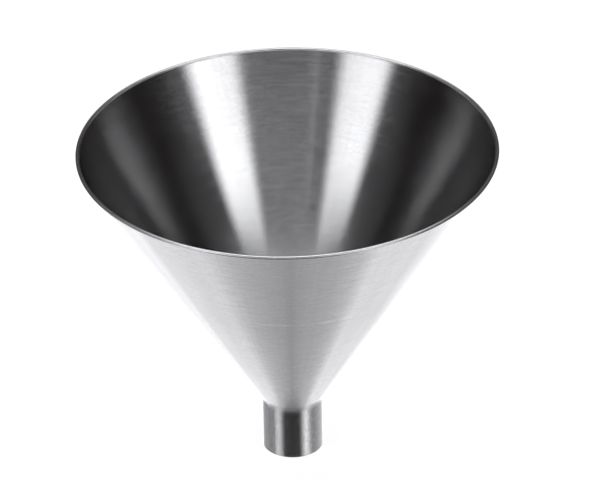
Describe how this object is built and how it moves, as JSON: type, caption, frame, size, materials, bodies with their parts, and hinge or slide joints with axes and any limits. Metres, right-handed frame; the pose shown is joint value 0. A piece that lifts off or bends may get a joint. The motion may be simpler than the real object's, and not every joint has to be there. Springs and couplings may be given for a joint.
{
  "type": "canning funnel",
  "caption": "Plain spun steel filling funnel: a deep wide cone with a small rounded bead at the rim, welded to a short straight tube spout.",
  "frame": {"origin": "centre of the spout's open end, in the plane the funnel stands on", "axes": "+Z along the funnel's axis, from the spout's open end up to the rim; X and Y are alike, because the part is round"},
  "size_m": [0.15, 0.15, 0.123],
  "materials": {
    "cone": "satin, brushed in fine rings around the axis, inside and out",
    "spout": "smoother than the cone, brushed in fine rings around the axis",
    "neck_weld": "weld ground back and brushed to match the cone"
  },
  "bodies": {
    "root": {"cone": "cone", "spout": "spout", "neck_weld": "neck_weld"}
  },
  "joints": []
}
